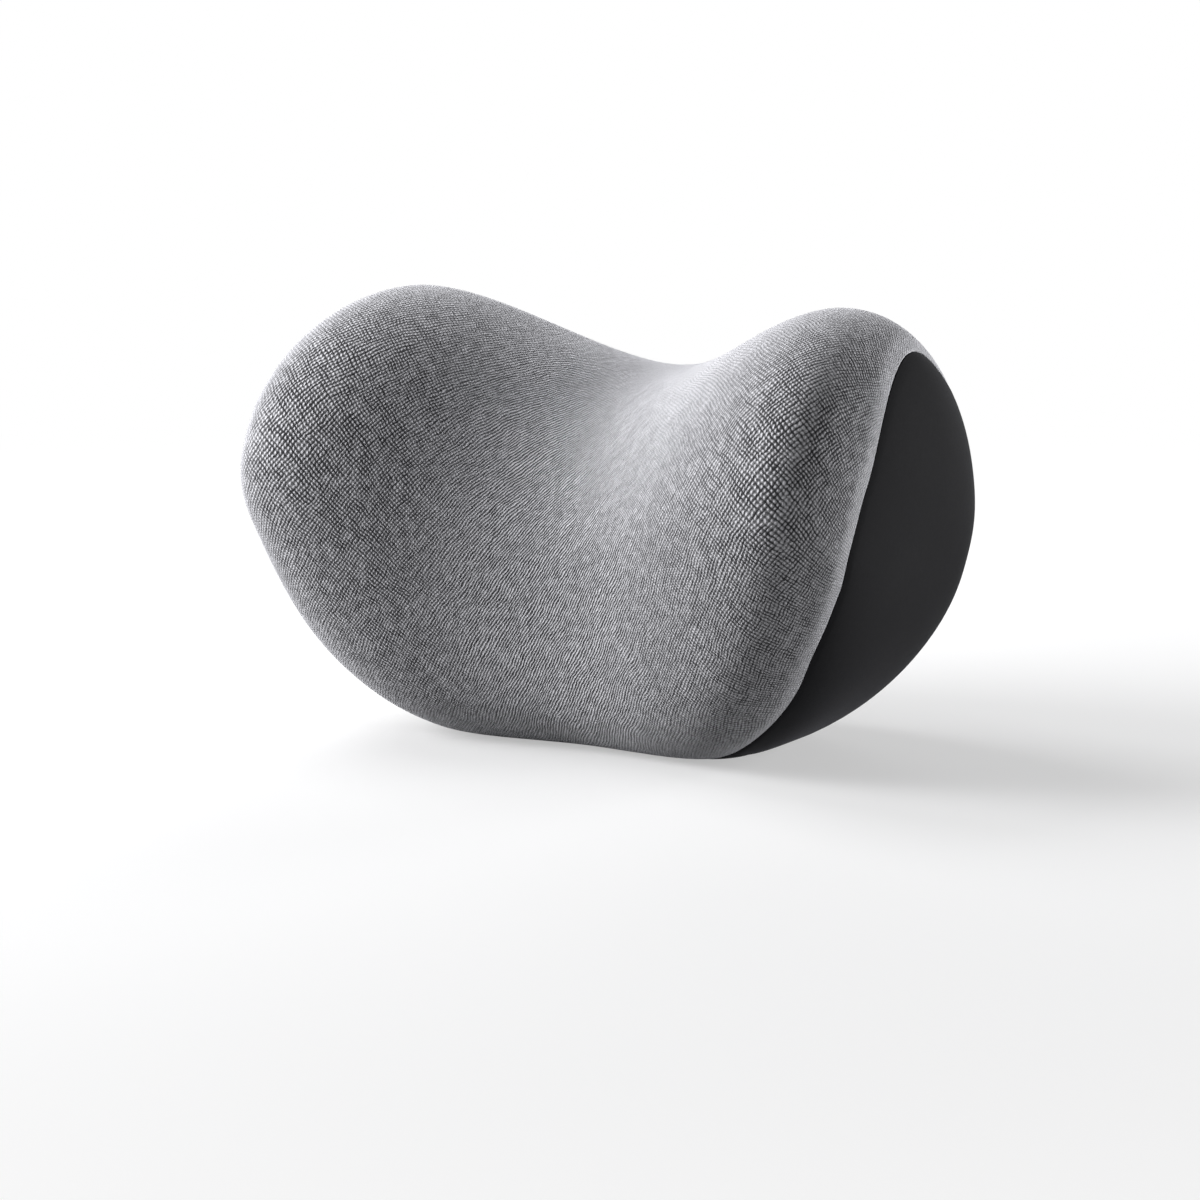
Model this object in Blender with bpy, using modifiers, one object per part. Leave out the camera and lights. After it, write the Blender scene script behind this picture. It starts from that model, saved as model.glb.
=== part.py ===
"""Car neck pillow: a foam wedge with two forward wings in a sewn fabric cover.

Units are metres, +Z is up, the neck side faces -Y and the seat side faces +Y.
The pillow stands on its flat base, and the origin is under its middle.
"""
import math

import bmesh
import bpy
from mathutils import Vector

# Overall body
HALF_WIDTH = 0.1608          # half width before the ends round off
BASE_NARROWING = 0.293       # how much narrower the base is than the lobes
NARROWING_POWER = 1.788
TOP_FLARE = 0.026
REAR_TAPER = 0.24            # the back is narrower than the front, per metre of depth
TAPER_ORIGIN_Y = 0.065
DEPTH_SHIFT = 0.0504         # puts the origin under the middle of the whole pillow

# Heights
SADDLE_HEIGHT = 0.1658       # crown height in the middle, before the base is flattened
LOBE_RISE = 0.0657           # how much higher the lobes are
LOBE_REACH = 0.968           # share of the half width where the lobes are highest
BELLY_SHARE = 0.46           # height of the deepest point, as a share of the crown height
SETTLE = 0.0086              # the base is pressed flat at this height
SETTLE_BLEND = 0.0043

# Depths
FRONT_DEPTH = 0.1086         # ridge line to the front of the middle
WING_DEPTH = 0.0475          # extra depth of the wings
WING_REACH = 1.068
WING_LEAN = 1.305            # the wings come forward more at the top
RIDGE_SWEEP = 0.0446         # the crown line bends forward towards the lobes
RIDGE_REACH = 0.745
BACK_PLANE = 0.0261          # ridge line of the middle to the flat back
BACK_SQUASH = 0.0043         # how far the full form is pressed flat behind
BACK_FULLNESS = 0.005        # extra squash behind the middle
BACK_BLEND = 0.0032

# How boxy the section is in each quarter
SHAPE_FRONT_TOP = 1.945
SHAPE_FRONT_LOW = 3.368
SHAPE_BACK_TOP = 1.888
SHAPE_BACK_LOW = 2.853
SHAPE_BLEND = 0.6            # share of the height over which they change

# How the ends round off
END_SHAPE_Z = 2.769
END_SHAPE_Y = 5.399
END_CENTRE_Z = 0.0864
END_CENTRE_Y = -0.0178

# Seams, as angles round the section: 0 is the back, a quarter turn up is the crown
CROWN_SEAM = 0.75
CROWN_SEAM_DROP = 0.1
FRONT_SEAM = 4.18
FRONT_SEAM_CORNER = 0.01
REAR_SEAM = 5.35
SIDE_SEAM_OUT = 0.9814       # share of the half width at the front of the wing
SIDE_SEAM_TIP = 0.8603       # and where it turns over the top and under the base
SIDE_SEAM_REAR = 0.885       # and behind
SIDE_SEAM_ANGLE = 2.865      # where on the front it lies furthest out
SIDE_SEAM_TURN = 1.36        # angle from there to the turn
SIDE_SEAM_RISE = 0.46        # how soon it moves out again past the turn
UNDER_REACH = 0.22           # how far the side panels run in under the base
UNDER_START = 3.8            # where on the lower front that begins
UNDER_POWER = 2.5
UNDER_REAR = 0.35            # where it ends, before the rear seam
UNDER_RETURN = 0.4

# Cover and foam
COVER = 0.003                # fabric with its quilted backing
GAP = 0.0003                 # clearance between pieces that touch
SEAM_GAP = 0.00045           # between two panels at a seam
FOAM_GAP = 0.0005
COLUMNS = 24
FRONT_ROWS = 30
BASE_ROWS = 8
BACK_ROWS = 8
SIDE_RINGS = 6

# Zip in the back panel
ZIP_HEIGHT = 0.048
ZIP_END_MARGIN = 0.034       # from the slot's end to the side seam
ZIP_SLOT_HEIGHT = 0.022
TAPE_THICK = 0.001
TAPE_SINK = 0.0033
TAPE_TAIL = 0.005            # tape past each end of the coil
COIL_THICK = 0.002
COIL_HEIGHT = 0.0021
STOP_LENGTH = 0.003
SLIDER_LENGTH = 0.011
SLIDER_HEIGHT = 0.010
SLIDER_PLATE = 0.0015
SLIDER_END_SPACE = 0.0015    # between the slider and the stop of the closed zip
ARCH_LENGTH = 0.008
ARCH_RISE = 0.003
ARCH_WIDTH = 0.0016
ARCH_BAR = 0.001
PULL_LENGTH = 0.026
PULL_HEIGHT = 0.006
PULL_THICK = 0.0012
PULL_EYE_LENGTH = 0.0059
PULL_EYE_HEIGHT = 0.0026

# Elastic strap across the back
STRAP_HEIGHT_Z = 0.098
STRAP_WIDTH = 0.030
STRAP_THICK = 0.0016
STRAP_END_MARGIN = 0.022     # from the strap's end to the side seam
STRAP_SEWN = 0.024           # length that lies flat on the back
STRAP_RISE = 0.030           # length over which it leaves the back
STRAP_STANDOFF = 0.0135      # clear space between the strap and the back
PATCH_MARGIN = 0.002         # how far the patch reaches past the strap's edges
PATCH_THICK = 0.0012


def ease(x):
    """Smooth step from 0 to 1."""
    x = min(max(x, 0.0), 1.0)
    return x * x * (3.0 - 2.0 * x)


def press(height, blend):
    """Flatten everything below zero, with a rounded edge of the given blend."""
    if height < -blend:
        return 0.0
    if height > blend:
        return height
    return (height + blend) ** 2 / (4.0 * blend)


def end_round(a, power):
    return max(1.0 - a ** power, 0.0) ** (1.0 / power)


def skin(u, t):
    """Point of the outer surface: u runs -1 to 1 across, t is the angle round the section."""
    a = abs(u)
    c = math.cos(t)
    s = math.sin(t)
    front = c < 0.0
    upper = ease(0.5 + 0.5 * s / SHAPE_BLEND)
    if front:
        shape = SHAPE_FRONT_LOW + (SHAPE_FRONT_TOP - SHAPE_FRONT_LOW) * upper
    else:
        shape = SHAPE_BACK_LOW + (SHAPE_BACK_TOP - SHAPE_BACK_LOW) * upper
    r = (abs(c) ** shape + abs(s) ** shape) ** (-1.0 / shape)
    out = r * c
    rise = r * s
    crown = SADDLE_HEIGHT + LOBE_RISE * ease(a / LOBE_REACH)
    if s > 0.0:
        z = crown * (BELLY_SHARE + (1.0 - BELLY_SHARE) * rise)
    else:
        z = crown * BELLY_SHARE * (1.0 + rise)
    level = z / crown
    ridge = -RIDGE_SWEEP * ease(a / RIDGE_REACH)
    if front:
        lean = 1.0 + WING_LEAN * (level - 0.5)
        depth = FRONT_DEPTH + WING_DEPTH * ease(a / WING_REACH) * lean
        y = ridge + out * (depth + ridge)
    else:
        depth = BACK_PLANE + BACK_SQUASH + BACK_FULLNESS * (1.0 - ease(a / 0.8))
        y = ridge + out * (depth - ridge)
    y = END_CENTRE_Y + end_round(a, END_SHAPE_Y) * (y - END_CENTRE_Y)
    z = END_CENTRE_Z + end_round(a, END_SHAPE_Z) * (z - END_CENTRE_Z)
    share = min(max(z / (SADDLE_HEIGHT + LOBE_RISE), 0.0), 1.0)
    width = HALF_WIDTH * (1.0 - BASE_NARROWING * (1.0 - share) ** NARROWING_POWER + TOP_FLARE * share ** 3)
    width *= 1.0 - REAR_TAPER * (y + TAPER_ORIGIN_Y)
    z = press(z - SETTLE, SETTLE_BLEND)
    y = BACK_PLANE - press(BACK_PLANE - y, BACK_BLEND)
    return Vector((u * width, y + DEPTH_SHIFT, z))


def ring_to_u(ring):
    return max(1.0 - ring ** END_SHAPE_Z, 0.0) ** (1.0 / END_SHAPE_Z)


def skin_normal(u, t):
    """Outward direction of the surface."""
    side = -1.0 if u < 0.0 else 1.0
    a = abs(u)
    if a > 0.99995:
        return Vector((side, 0.0, 0.0))
    if a > 0.8:
        ring = end_round(a, END_SHAPE_Z)
        step = min(0.002, ring * 0.5)
        across = skin(side * ring_to_u(ring - step), t) - skin(side * ring_to_u(ring + step), t)
        across *= side
    else:
        across = skin(u + 0.002, t) - skin(u - 0.002, t)
    around = skin(u, t + 0.003) - skin(u, t - 0.003)
    return around.cross(across).normalized()


def wrap(u, t, depth):
    """Point at a depth under the surface."""
    return skin(u, t) - skin_normal(u, t) * depth


def under_share(t):
    """How much of the reach under the base the side seam takes at this angle."""
    t = t % (2.0 * math.pi)
    into = min(max((t - UNDER_START) / (FRONT_SEAM - UNDER_START), 0.0), 1.0) ** UNDER_POWER
    return into * (1.0 - ease((t - REAR_SEAM + UNDER_REAR) / UNDER_RETURN))


def side_seam(t):
    swing = 1.0 - math.cos(t - SIDE_SEAM_ANGLE)
    turn = 1.0 - math.cos(SIDE_SEAM_TURN)
    if swing < turn:
        share = min(0.65 * swing / turn + 0.4 * ease((swing / turn - 0.2) / 0.7), 1.0)
        place = SIDE_SEAM_OUT - (SIDE_SEAM_OUT - SIDE_SEAM_TIP) * share
    else:
        place = SIDE_SEAM_TIP + (SIDE_SEAM_REAR - SIDE_SEAM_TIP) * ease((swing - turn) / SIDE_SEAM_RISE)
    return place - UNDER_REACH * under_share(t)


def crown_seam(p):
    return CROWN_SEAM + CROWN_SEAM_DROP * p * p


def front_seam(p):
    return FRONT_SEAM - FRONT_SEAM_CORNER * abs(p) ** 12


def back_edge(height):
    """How far out the side seam is on the back, at a height."""
    low = REAR_SEAM - 2.0 * math.pi
    high = CROWN_SEAM
    for _ in range(40):
        middle = 0.5 * (low + high)
        if skin(side_seam(middle), middle).z < height:
            low = middle
        else:
            high = middle
    return skin(side_seam(low), low).x


def spread(s):
    """Column spacing: closer together near the ends."""
    return math.sin(0.5 * math.pi * 0.93 * s) / math.sin(0.5 * math.pi * 0.93)


def panel_angles(kind, p):
    if kind == "front":
        return crown_seam(p), front_seam(p)
    if kind == "base":
        return front_seam(p), REAR_SEAM
    return REAR_SEAM, crown_seam(p) + 2.0 * math.pi


def clear_collection():
    for item in list(bpy.data.objects):
        bpy.data.objects.remove(item, do_unlink=True)


def new_collection(name):
    group = bpy.data.collections.new(name)
    bpy.context.scene.collection.children.link(group)
    return group


def make_material(name, colour, roughness, metallic=0.0):
    material = bpy.data.materials.new(name)
    material.use_nodes = True
    shader = material.node_tree.nodes["Principled BSDF"]
    shader.inputs["Base Color"].default_value = (colour[0], colour[1], colour[2], 1.0)
    shader.inputs["Roughness"].default_value = roughness
    shader.inputs["Metallic"].default_value = metallic
    material.diffuse_color = (colour[0], colour[1], colour[2], 1.0)
    return material


def face_outwards(bm):
    """Consistent faces first, then turned round if the thin curved shell came out reversed."""
    bmesh.ops.recalc_face_normals(bm, faces=bm.faces)
    if bm.calc_volume(signed=True) < 0.0:
        bmesh.ops.reverse_faces(bm, faces=bm.faces)


def add_object(name, bm, material, group, smooth=True):
    face_outwards(bm)
    mesh = bpy.data.meshes.new(name)
    bm.to_mesh(mesh)
    bm.free()
    if smooth:
        mesh.shade_smooth()
        mesh.set_sharp_from_angle(angle=math.radians(40.0))
    thing = bpy.data.objects.new(name, mesh)
    thing.data.materials.append(material)
    group.objects.link(thing)
    return thing


def plate(columns, rows, place):
    """A flat plate one unit thick, laid where the function says: place(s, q, depth)."""
    bm = bmesh.new()
    bmesh.ops.create_grid(bm, x_segments=columns, y_segments=rows, size=1.0)
    bmesh.ops.solidify(bm, geom=bm.faces[:], thickness=1.0)
    for vert in bm.verts:
        vert.co = place(vert.co.x, 0.5 * (vert.co.y + 1.0), abs(vert.co.z))
    return bm


def cover_panel(kind, rows):
    trim_p = 1.0 - 0.5 * SEAM_GAP / 0.12
    first, last = panel_angles(kind, 0.0)
    trim_q = 0.5 * SEAM_GAP / (0.09 * (last - first))

    def place(s, q, depth):
        p = spread(s)
        start, end = panel_angles(kind, p)
        t = start + (end - start) * (trim_q + (1.0 - 2.0 * trim_q) * q)
        return wrap(p * trim_p * side_seam(t), t, depth * COVER)

    return plate(COLUMNS, rows, place)


def loop_angle(index):
    """Angle round the side seam at a whole step, matched to the rows of the panels."""
    total = FRONT_ROWS + BASE_ROWS + BACK_ROWS
    index = index % total
    if index < FRONT_ROWS:
        start, end = panel_angles("front", 1.0)
        return start + (end - start) * index / FRONT_ROWS
    index -= FRONT_ROWS
    if index < BASE_ROWS:
        start, end = panel_angles("base", 1.0)
        return start + (end - start) * index / BASE_ROWS
    index -= BASE_ROWS
    start, end = panel_angles("back", 1.0)
    return start + (end - start) * index / BACK_ROWS


def side_disc():
    """A flat disc in rings, with one spoke for each row of the panels it meets."""
    bm = bmesh.new()
    total = FRONT_ROWS + BASE_ROWS + BACK_ROWS
    centre = bm.verts.new((0.0, 0.0, 0.0))
    spoke = [centre]
    for ring in range(SIDE_RINGS):
        spoke.append(bm.verts.new(((ring + 1.0) / SIDE_RINGS, 0.0, 0.0)))
    edges = [bm.edges.new((spoke[i], spoke[i + 1])) for i in range(SIDE_RINGS)]
    bmesh.ops.spin(bm, geom=spoke + edges, cent=(0.0, 0.0, 0.0), axis=(0.0, 0.0, 1.0),
                   angle=2.0 * math.pi, steps=total, use_merge=True)
    bmesh.ops.remove_doubles(bm, verts=bm.verts[:], dist=0.0001)
    return bm


def place_on_side(side, flat, depth, trim):
    total = FRONT_ROWS + BASE_ROWS + BACK_ROWS
    radius = math.hypot(flat.x, flat.y)
    index = round(math.atan2(flat.y, flat.x) / (2.0 * math.pi) * total)
    t = loop_angle(index)
    outer = side_seam(t)
    reach = end_round(outer, END_SHAPE_Z)
    here = skin(outer, t)
    span = max((here - skin(1.0, t)).length, 0.02)
    ring = reach * radius * (1.0 - trim / span)
    return wrap(side * ring_to_u(ring), t, depth)


def side_panel(side):
    bm = side_disc()
    bmesh.ops.solidify(bm, geom=bm.faces[:], thickness=1.0)
    for vert in bm.verts:
        flat = vert.co.copy()
        vert.co = place_on_side(side, flat, abs(flat.z) * COVER, 0.5 * SEAM_GAP)
    return bm


def foam_body():
    """The foam is the same form, one cover thickness smaller, welded from the same patches."""
    depth = COVER + FOAM_GAP
    bm = bmesh.new()
    for kind, rows in (("front", FRONT_ROWS), ("base", BASE_ROWS), ("back", BACK_ROWS)):
        grid = bmesh.ops.create_grid(bm, x_segments=COLUMNS, y_segments=rows, size=1.0)
        for vert in grid["verts"]:
            p = spread(vert.co.x)
            start, end = panel_angles(kind, p)
            t = start + (end - start) * 0.5 * (vert.co.y + 1.0)
            vert.co = wrap(p * side_seam(t), t, depth)
    for side in (-1.0, 1.0):
        disc = side_disc()
        for vert in disc.verts:
            vert.co = place_on_side(side, vert.co.copy(), depth, 0.0)
        mesh = bpy.data.meshes.new("side_patch")
        disc.to_mesh(mesh)
        disc.free()
        bm.from_mesh(mesh)
        bpy.data.meshes.remove(mesh)
    bmesh.ops.remove_doubles(bm, verts=bm.verts[:], dist=0.00005)
    return bm


def block(low, high):
    """A box between two corners."""
    bm = bmesh.new()
    bmesh.ops.create_cube(bm, size=1.0)
    middle = (Vector(low) + Vector(high)) * 0.5
    span = Vector(high) - Vector(low)
    for vert in bm.verts:
        vert.co = Vector((vert.co.x * span.x, vert.co.y * span.y, vert.co.z * span.z)) + middle
    return bm


def round_edges(thing, width, segments=2):
    bevel = thing.modifiers.new("Rounded edges", "BEVEL")
    bevel.width = width
    bevel.segments = segments
    bevel.limit_method = "ANGLE"
    bevel.angle_limit = math.radians(40.0)


def cut(thing, cutter):
    change = thing.modifiers.new("Cut " + cutter.name, "BOOLEAN")
    change.operation = "DIFFERENCE"
    change.solver = "EXACT"
    change.object = cutter


def join(thing, other):
    change = thing.modifiers.new("Join " + other.name, "BOOLEAN")
    change.operation = "UNION"
    change.solver = "EXACT"
    change.object = other


def add_cutter(name, bm, group):
    face_outwards(bm)
    mesh = bpy.data.meshes.new(name)
    bm.to_mesh(mesh)
    bm.free()
    thing = bpy.data.objects.new(name, mesh)
    thing.hide_render = True
    thing.display_type = "WIRE"
    group.objects.link(thing)
    return thing


def strap_line(x, sewn_x):
    """Height of the strap above the back, at a distance x from the middle."""
    share = (sewn_x - abs(x)) / STRAP_RISE
    return STRAP_STANDOFF * ease(share)


def strap_band(back_y, end_x):
    half = 14
    sewn_x = end_x - STRAP_SEWN

    def place(s, q, depth):
        x = end_x * math.copysign(abs(s) ** 0.75, s)
        lift = strap_line(x, sewn_x)
        slope = (strap_line(x + 0.0005, sewn_x) - strap_line(x - 0.0005, sewn_x)) / 0.001
        out = Vector((-slope, 1.0, 0.0)).normalized()
        base = Vector((x, back_y + GAP + lift, STRAP_HEIGHT_Z + (q - 0.5) * STRAP_WIDTH))
        return base + out * (depth * STRAP_THICK)

    return plate(2 * half, 1, place)


def build():
    clear_collection()
    pieces = new_collection("car_neck_pillow")
    cutters = new_collection("cutters")

    grey = make_material("grey_knit", (0.42, 0.42, 0.45), 0.92)
    black = make_material("black_fabric", (0.022, 0.022, 0.024), 0.85)
    foam = make_material("foam", (0.86, 0.82, 0.66), 0.95)
    tape = make_material("zip_tape", (0.020, 0.020, 0.021), 0.9)
    nylon = make_material("zip_nylon", (0.028, 0.028, 0.030), 0.45)
    metal = make_material("zip_metal", (0.30, 0.30, 0.31), 0.32, 1.0)
    webbing = make_material("elastic_webbing", (0.025, 0.025, 0.027), 0.88)
    patch = make_material("strap_patch", (0.030, 0.030, 0.032), 0.7)

    back_y = BACK_PLANE + DEPTH_SHIFT

    # Sewn cover
    add_object("front_panel", cover_panel("front", FRONT_ROWS), grey, pieces)
    add_object("base_panel", cover_panel("base", BASE_ROWS), black, pieces)
    back = add_object("back_panel", cover_panel("back", BACK_ROWS), black, pieces)
    add_object("side_panel_right", side_panel(1.0), black, pieces)
    add_object("side_panel_left", side_panel(-1.0), black, pieces)
    core = add_object("foam_core", foam_body(), foam, pieces)

    # Opening for the zip, through the back panel and a little way into the foam
    half_slot = back_edge(ZIP_HEIGHT) - ZIP_END_MARGIN
    half_high = 0.5 * ZIP_SLOT_HEIGHT
    slot = add_cutter("zip_slot", block(
        (-half_slot, back_y - COVER - FOAM_GAP - 0.0012, ZIP_HEIGHT - half_high),
        (half_slot, back_y + 0.01, ZIP_HEIGHT + half_high)), cutters)
    cut(back, slot)
    cut(core, slot)

    # Tapes and coils, one above and one below the line of the zip
    tape_in = back_y - TAPE_SINK - TAPE_THICK
    tape_out = back_y - TAPE_SINK
    coil_in = tape_out + GAP
    coil_out = coil_in + COIL_THICK
    half_coil = half_slot - TAPE_TAIL
    for name, side in (("upper", 1.0), ("lower", -1.0)):
        inner = ZIP_HEIGHT + side * 0.5 * GAP
        outer = ZIP_HEIGHT + side * (half_high - GAP)
        low = min(inner, outer)
        high = max(inner, outer)
        add_object("zip_tape_" + name, block(
            (-half_slot + GAP, tape_in, low), (half_slot - GAP, tape_out, high)), tape, pieces, False)
        outer = inner + side * COIL_HEIGHT
        coil = add_object("zip_coil_" + name, block(
            (-half_coil, coil_in, min(inner, outer)), (half_coil, coil_out, max(inner, outer))), nylon, pieces)
        round_edges(coil, 0.0004)

    for name, side in (("right", 1.0), ("left", -1.0)):
        near = side * (half_coil + GAP)
        far = side * (half_coil + GAP + STOP_LENGTH)
        stop = add_object("zip_stop_" + name, block(
            (min(near, far), coil_in, ZIP_HEIGHT - 0.003),
            (max(near, far), coil_out + 0.0006, ZIP_HEIGHT + 0.003)), metal, pieces)
        round_edges(stop, 0.0005)

    # Slider: a block with a channel over both coils, and an arch that holds the pull
    half_long = 0.5 * SLIDER_LENGTH
    plate_in = coil_out + GAP
    plate_out = plate_in + SLIDER_PLATE
    slider = add_object("zip_slider", block(
        (-half_long, coil_in, -0.5 * SLIDER_HEIGHT), (half_long, plate_out, 0.5 * SLIDER_HEIGHT)), metal, pieces)
    round_edges(slider, 0.0006)
    channel = add_cutter("slider_channel", block(
        (-0.02, coil_in - 0.01, -COIL_HEIGHT - 2.0 * GAP),
        (0.02, plate_in, COIL_HEIGHT + 2.0 * GAP)), cutters)
    arch = add_cutter("slider_arch", block(
        (-0.5 * ARCH_LENGTH, plate_out - 0.0004, -0.5 * ARCH_WIDTH),
        (0.5 * ARCH_LENGTH, plate_out + ARCH_RISE, 0.5 * ARCH_WIDTH)), cutters)
    arch_hole = add_cutter("arch_hole", block(
        (-0.5 * ARCH_LENGTH + ARCH_BAR, plate_out, -0.01),
        (0.5 * ARCH_LENGTH - ARCH_BAR, plate_out + ARCH_RISE - ARCH_BAR, 0.01)), cutters)
    cut(arch, arch_hole)
    cut(slider, channel)
    join(slider, arch)

    # The slider and its cutters sit on one empty, so the slider's origin is on the zip line
    rig = bpy.data.objects.new("slider_rig", None)
    pieces.objects.link(rig)
    rig.location = (half_coil - half_long - SLIDER_END_SPACE, 0.0, ZIP_HEIGHT)
    for thing in (slider, channel, arch, arch_hole):
        thing.parent = rig

    # Pull: a flat tab with an eye, turning on its end bar under the arch
    pivot_y = plate_out + 0.5 * (ARCH_RISE - ARCH_BAR)
    bar = 0.5 * PULL_THICK
    pull = add_object("zip_pull", block(
        (-PULL_LENGTH, -bar, -0.5 * PULL_HEIGHT), (bar, bar, 0.5 * PULL_HEIGHT)), metal, pieces)
    round_edges(pull, 0.0003)
    eye = add_cutter("pull_eye", block(
        (-bar - PULL_EYE_LENGTH, -0.01, -0.5 * PULL_EYE_HEIGHT),
        (-bar, 0.01, 0.5 * PULL_EYE_HEIGHT)), cutters)
    cut(pull, eye)
    pull_rig = bpy.data.objects.new("pull_rig", None)
    pieces.objects.link(pull_rig)
    pull_rig.parent = rig
    pull_rig.location = (0.0, pivot_y, 0.0)
    pull.parent = pull_rig
    eye.parent = pull_rig

    # Elastic strap, sewn to the back under a patch at each end
    strap_end = back_edge(STRAP_HEIGHT_Z) - STRAP_END_MARGIN
    half_patch = 0.5 * STRAP_WIDTH + PATCH_MARGIN
    add_object("strap_band", strap_band(back_y, strap_end), webbing, pieces)
    patch_in = back_y + 2.0 * GAP + STRAP_THICK
    for name, side in (("right", 1.0), ("left", -1.0)):
        near = side * (strap_end - STRAP_SEWN + PATCH_MARGIN)
        far = side * strap_end
        cover = add_object("strap_patch_" + name, block(
            (min(near, far), patch_in, STRAP_HEIGHT_Z - half_patch),
            (max(near, far), patch_in + PATCH_THICK, STRAP_HEIGHT_Z + half_patch)), patch, pieces)
        round_edges(cover, 0.0004)

    bpy.context.view_layer.update()


build()
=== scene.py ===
import math

import bmesh
import bpy
from mathutils import Matrix, Quaternion, Vector
from mathutils.bvhtree import BVHTree


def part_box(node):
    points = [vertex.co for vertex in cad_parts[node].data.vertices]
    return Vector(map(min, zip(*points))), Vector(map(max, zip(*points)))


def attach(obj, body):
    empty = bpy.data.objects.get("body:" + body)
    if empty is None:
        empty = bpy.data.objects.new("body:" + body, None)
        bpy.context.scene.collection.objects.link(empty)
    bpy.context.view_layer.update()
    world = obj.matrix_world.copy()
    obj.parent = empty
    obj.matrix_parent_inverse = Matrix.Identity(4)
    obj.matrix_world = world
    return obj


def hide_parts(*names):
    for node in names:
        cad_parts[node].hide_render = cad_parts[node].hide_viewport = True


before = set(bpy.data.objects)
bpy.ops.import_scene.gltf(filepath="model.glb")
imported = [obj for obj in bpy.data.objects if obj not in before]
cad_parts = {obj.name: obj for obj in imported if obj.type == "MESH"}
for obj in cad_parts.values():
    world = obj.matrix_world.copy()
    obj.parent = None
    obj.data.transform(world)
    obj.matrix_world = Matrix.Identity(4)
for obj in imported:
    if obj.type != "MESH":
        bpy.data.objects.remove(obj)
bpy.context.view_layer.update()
print("pillow: frame loaded,", len(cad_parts), "solids")

# The pillow's form
# The same body as the solids: u runs -1 to 1 across, t is the angle round the section,
# 0 at the back, a quarter turn up at the crown, half a turn at the neck side.
form = {
    "halfWidth": 0.1608, "baseNarrowing": 0.293, "narrowingPower": 1.788, "topFlare": 0.026,
    "rearTaper": 0.24, "taperOrigin": 0.065, "depthShift": 0.0504,
    "saddleHeight": 0.1658, "lobeRise": 0.0657, "lobeReach": 0.968, "bellyShare": 0.46,
    "settle": 0.0086, "settleBlend": 0.0043,
    "frontDepth": 0.1086, "wingDepth": 0.0475, "wingReach": 1.068, "wingLean": 1.305,
    "ridgeSweep": 0.0446, "ridgeReach": 0.745,
    "backPlane": 0.0261, "backSquash": 0.0043, "backFullness": 0.005, "backBlend": 0.0032,
    "frontTop": 1.945, "frontLow": 3.368, "backTop": 1.888, "backLow": 2.853, "shapeBlend": 0.6,
    "endShapeZ": 2.769, "endShapeY": 5.399, "endCentreZ": 0.0864, "endCentreY": -0.0178,
}

seams = {
    "crown": 0.75, "crownDrop": 0.1,
    "front": 4.18, "frontCorner": 0.01,
    "rear": 5.35,
    "sideOut": 0.9814, "sideTip": 0.8603, "sideRear": 0.885,
    "sideAngle": 2.865, "sideTurn": 1.36, "sideRise": 0.46, "tipBlend": 0.05,
    "underReach": 0.22, "underStart": 3.8, "underPower": 2.5, "underRear": 0.35, "underReturn": 0.4,
    "gap": 0.00012,
}


def ease(x):
    x = min(max(x, 0.0), 1.0)
    return x * x * (3.0 - 2.0 * x)


def press(height, blend):  # flat below zero, with a soft edge
    if height < -blend:
        return 0.0
    if height > blend:
        return height
    return (height + blend) ** 2 / (4.0 * blend)


def endRound(a, power):
    return max(1.0 - a ** power, 0.0) ** (1.0 / power)


def ringToU(ring):
    return endRound(ring, form["endShapeZ"])


def skin(u, t):
    f = form
    a, c, s = abs(u), math.cos(t), math.sin(t)
    upper = ease(0.5 + 0.5 * s / f["shapeBlend"])
    low, top = ("frontLow", "frontTop") if c < 0.0 else ("backLow", "backTop")
    shape = f[low] + (f[top] - f[low]) * upper
    r = (abs(c) ** shape + abs(s) ** shape) ** (-1.0 / shape)
    out, rise = r * c, r * s
    crown = f["saddleHeight"] + f["lobeRise"] * ease(a / f["lobeReach"])
    if s > 0.0:
        z = crown * (f["bellyShare"] + (1.0 - f["bellyShare"]) * rise)
    else:
        z = crown * f["bellyShare"] * (1.0 + rise)
    ridge = -f["ridgeSweep"] * ease(a / f["ridgeReach"])
    if c < 0.0:
        lean = 1.0 + f["wingLean"] * (z / crown - 0.5)
        y = ridge + out * (f["frontDepth"] + f["wingDepth"] * ease(a / f["wingReach"]) * lean + ridge)
    else:
        depth = f["backPlane"] + f["backSquash"] + f["backFullness"] * (1.0 - ease(a / 0.8))
        y = ridge + out * (depth - ridge)
    y = f["endCentreY"] + endRound(a, f["endShapeY"]) * (y - f["endCentreY"])
    z = f["endCentreZ"] + endRound(a, f["endShapeZ"]) * (z - f["endCentreZ"])
    share = min(max(z / (f["saddleHeight"] + f["lobeRise"]), 0.0), 1.0)
    width = f["halfWidth"] * (1.0 - f["baseNarrowing"] * (1.0 - share) ** f["narrowingPower"]
                              + f["topFlare"] * share ** 3)
    width *= 1.0 - f["rearTaper"] * (y + f["taperOrigin"])
    z = press(z - f["settle"], f["settleBlend"])
    y = f["backPlane"] - press(f["backPlane"] - y, f["backBlend"])
    return Vector((u * width, y + f["depthShift"], z))


def skinNormal(u, t):
    side = -1.0 if u < 0.0 else 1.0
    a = abs(u)
    if a > 0.99995:
        return Vector((side, 0.0, 0.0))
    if a > 0.8:
        ring = endRound(a, form["endShapeZ"])
        step = min(0.002, ring * 0.5)
        across = (skin(side * ringToU(ring - step), t) - skin(side * ringToU(ring + step), t)) * side
    else:
        across = skin(u + 0.002, t) - skin(u - 0.002, t)
    around = skin(u, t + 0.003) - skin(u, t - 0.003)
    return around.cross(across).normalized()


def wrap(u, t, depth):
    return skin(u, t) - skinNormal(u, t) * depth


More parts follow.
